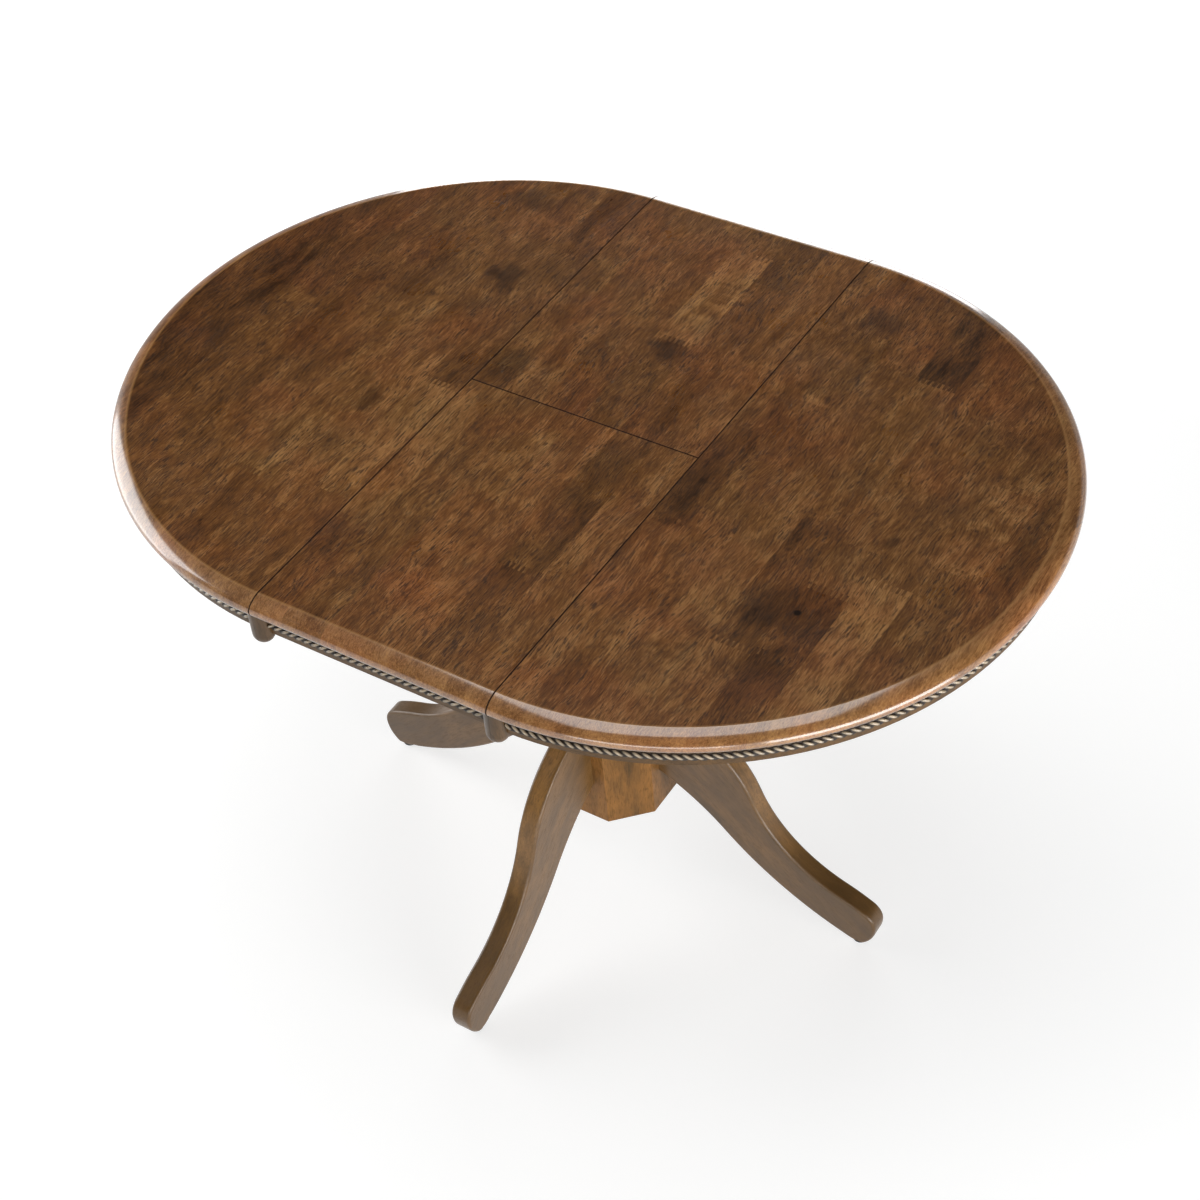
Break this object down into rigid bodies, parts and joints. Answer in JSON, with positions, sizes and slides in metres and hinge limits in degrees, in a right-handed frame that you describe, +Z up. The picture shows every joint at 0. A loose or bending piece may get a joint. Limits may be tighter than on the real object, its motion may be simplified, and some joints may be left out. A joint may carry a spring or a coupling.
{
  "type": "extending dining table",
  "caption": "Counter-height oval dining table that opens on geared slides, with a folding centre leaf, rope-moulded apron and octagonal pedestal on curved legs.",
  "frame": {"origin": "on the floor, under the middle of the column", "axes": "+Z up, +X the way the table extends, +Y across it"},
  "size_m": [1.435, 1.054, 0.9144],
  "materials": {
    "top_wood": "stained and lacquered hardwood, satin",
    "stained_wood": "stained and lacquered hardwood, satin",
    "frame_wood": "plain sanded hardwood",
    "steel": "zinc-plated",
    "brass_fitting": "plain",
    "glide_plastic": "matt black"
  },
  "bodies": {
    "base": {"column": "stained_wood", "column_plug": "frame_wood", "column_cap": "frame_wood", "pedestal_plate": "frame_wood", "plate_screws": "steel", "coach_screws": "steel", "leg_right": "stained_wood", "leg_back": "stained_wood", "leg_left": "stained_wood", "leg_front": "stained_wood", "leg_bolts": "steel", "leg_nuts": "steel", "leaf_bearer_front": "frame_wood", "leaf_bearer_back": "frame_wood", "cross_rail_left": "frame_wood", "cross_rail_right": "frame_wood", "slide_rail_front": "frame_wood", "slide_rail_back": "frame_wood", "frame_screws": "steel", "pinion_pins": "steel"},
    "left_half": {"top_left": "top_wood", "apron_left": "stained_wood", "rope_left": "stained_wood", "posts_left": "stained_wood", "runner_left_back": "frame_wood", "runner_left_front": "frame_wood", "racks_left": "steel", "runner_screws_left": "steel", "leaf_plates_left": "steel", "latch_plates": "steel"},
    "right_half": {"top_right": "top_wood", "apron_right": "stained_wood", "rope_right": "stained_wood", "posts_right": "stained_wood", "runner_right_back": "frame_wood", "runner_right_front": "frame_wood", "racks_right": "steel", "runner_screws_right": "steel", "leaf_plates_right": "steel", "latch_keepers": "steel"},
    "leaf_back": {"leaf_board_back": "top_wood", "hinge_barrels_back": "brass_fitting", "leaf_apron_back": "stained_wood", "leaf_rope_back": "stained_wood", "leaf_posts_back": "stained_wood"},
    "leaf_front": {"leaf_board_front": "top_wood", "hinge_barrels_front": "brass_fitting", "leaf_apron_front": "stained_wood", "leaf_rope_front": "stained_wood", "leaf_posts_front": "stained_wood"},
    "pinion_front": {"pinion_front": "steel"},
    "pinion_back": {"pinion_back": "steel"},
    "latch_front": {"latch_lever_front": "steel"},
    "latch_back": {"latch_lever_back": "steel"},
    "glide_right": {"glide_right": "glide_plastic"},
    "glide_back": {"glide_back": "glide_plastic"},
    "glide_left": {"glide_left": "glide_plastic"},
    "glide_front": {"glide_front": "glide_plastic"}
  },
  "joints": [
    {"name": "left_half_slide", "type": "slide", "parent": "base", "child": "left_half", "axis": [-1, 0, 0], "range_m": [0, 0.022]},
    {"name": "right_half_slide", "type": "slide", "parent": "base", "child": "right_half", "axis": [1, 0, 0], "range_m": [0, 0.022]},
    {"name": "pinion_front_turn", "type": "hinge", "parent": "base", "child": "pinion_front", "pos_m": [0, -0.3075, 0.877], "axis": [0, 0, -1], "range_deg": [0, 105.1]},
    {"name": "pinion_back_turn", "type": "hinge", "parent": "base", "child": "pinion_back", "pos_m": [0, 0.3075, 0.877], "axis": [0, 0, -1], "range_deg": [0, 105.1]},
    {"name": "leaf_lift", "type": "slide", "parent": "base", "child": "leaf_back", "axis": [0, 0, 1], "range_m": [0, 0.25]},
    {"name": "leaf_fold", "type": "hinge", "parent": "leaf_back", "child": "leaf_front", "pos_m": [0, 0, 0.91465], "axis": [-1, 0, 0], "range_deg": [0, 180]},
    {"name": "latch_front_turn", "type": "hinge", "parent": "left_half", "child": "latch_front", "pos_m": [-0.2255, -0.2, 0.8846], "axis": [0, 0, 1], "range_deg": [0, 90]},
    {"name": "latch_back_turn", "type": "hinge", "parent": "left_half", "child": "latch_back", "pos_m": [-0.2255, 0.2, 0.8846], "axis": [0, 0, -1], "range_deg": [0, 90]},
    {"name": "glide_right_level", "type": "slide", "parent": "base", "child": "glide_right", "axis": [0, 0, -1], "range_m": [0, 0.008]},
    {"name": "glide_back_level", "type": "slide", "parent": "base", "child": "glide_back", "axis": [0, 0, -1], "range_m": [0, 0.008]},
    {"name": "glide_left_level", "type": "slide", "parent": "base", "child": "glide_left", "axis": [0, 0, -1], "range_m": [0, 0.008]},
    {"name": "glide_front_level", "type": "slide", "parent": "base", "child": "glide_front", "axis": [0, 0, -1], "range_m": [0, 0.008]}
  ],
  "couplings": [
    {"joint": "right_half_slide", "follows": "left_half_slide", "ratio": 1},
    {"joint": "pinion_front_turn", "follows": "left_half_slide", "rad_per_m": 83.333},
    {"joint": "pinion_back_turn", "follows": "left_half_slide", "rad_per_m": 83.333}
  ]
}
